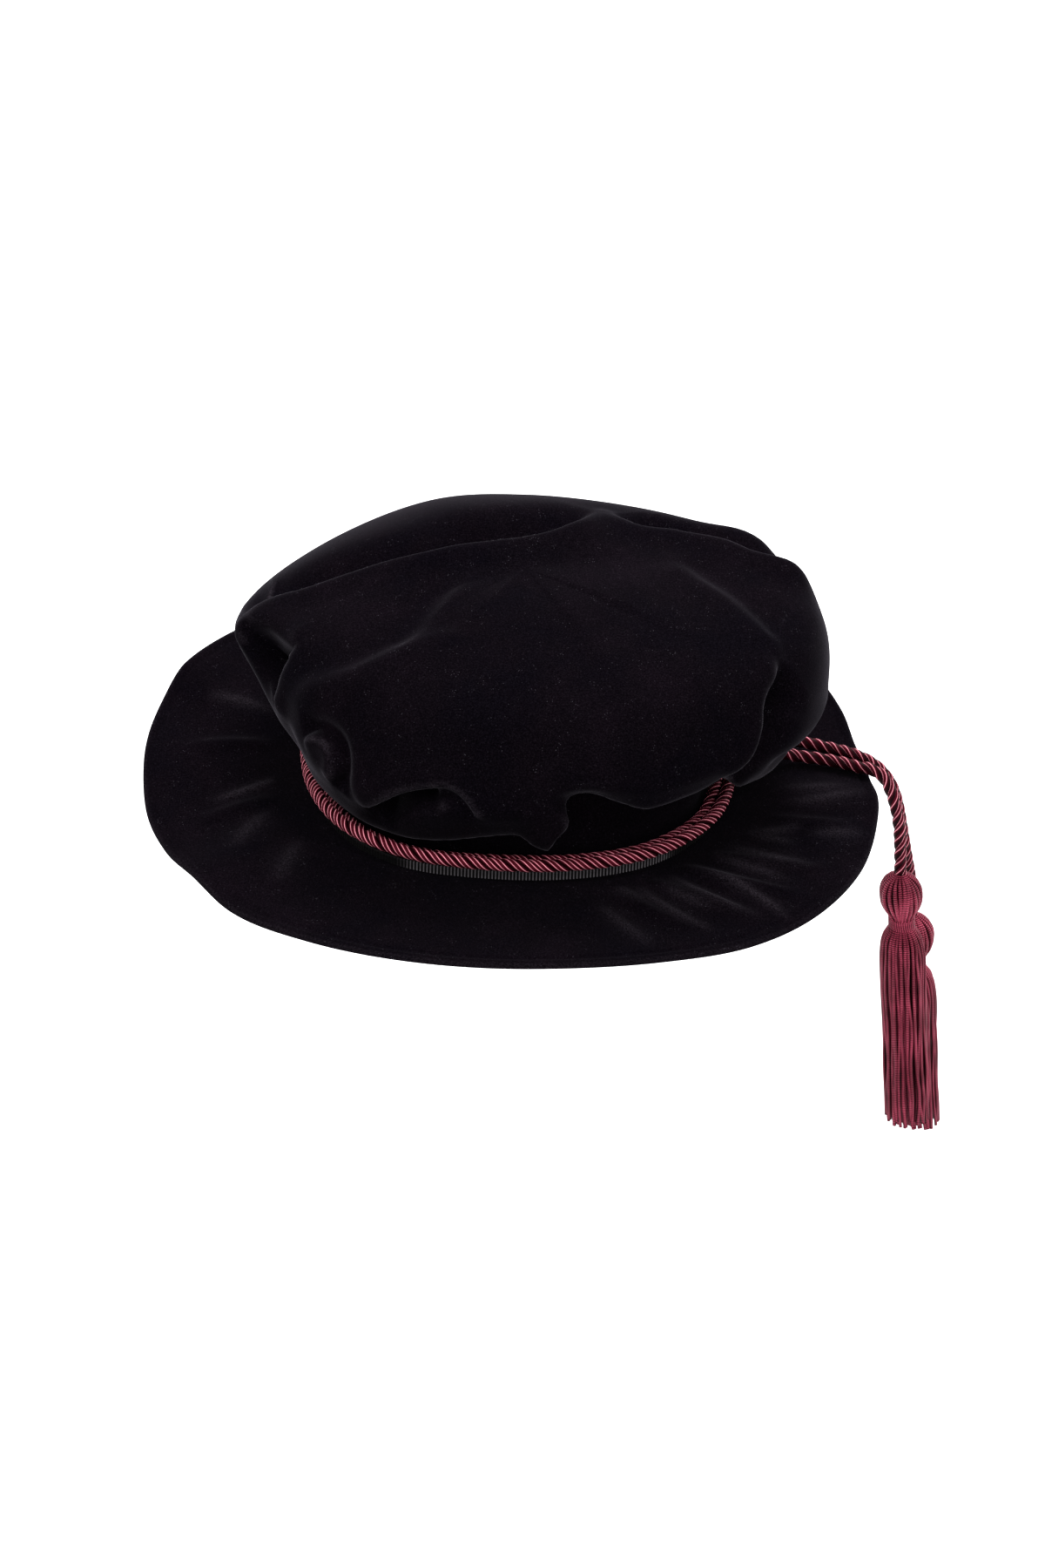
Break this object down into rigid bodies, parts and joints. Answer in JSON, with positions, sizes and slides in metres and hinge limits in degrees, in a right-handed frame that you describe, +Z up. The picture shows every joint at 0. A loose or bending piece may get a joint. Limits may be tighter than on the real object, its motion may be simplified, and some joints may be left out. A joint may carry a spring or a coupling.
{
  "type": "tudor bonnet",
  "caption": "Soft tudor bonnet with a full gathered crown, a round flat brim, a ribbon and a twisted cord wound round the foot of the crown, its ends hanging over the brim in tassels.",
  "frame": {"origin": "centre of the head opening, level with the brim's underside at that opening, where the hat sits on a head", "axes": "+Z up, +X towards the side where the tassels hang, -Y towards the front that the picture shows"},
  "size_m": [0.362, 0.3234, 0.3017],
  "materials": {
    "velvet": "velvet",
    "ribbon": "ribbed",
    "twisted_rayon": "silky",
    "tassel_rayon": "silky"
  },
  "bodies": {
    "root": {"brim": "velvet", "crown": "velvet", "ribbon_band": "ribbon", "wrap_cord": "twisted_rayon", "tassel_cord_front": "twisted_rayon", "tassel_cord_back": "twisted_rayon", "tassel_front": "tassel_rayon", "tassel_back": "tassel_rayon"}
  },
  "joints": []
}
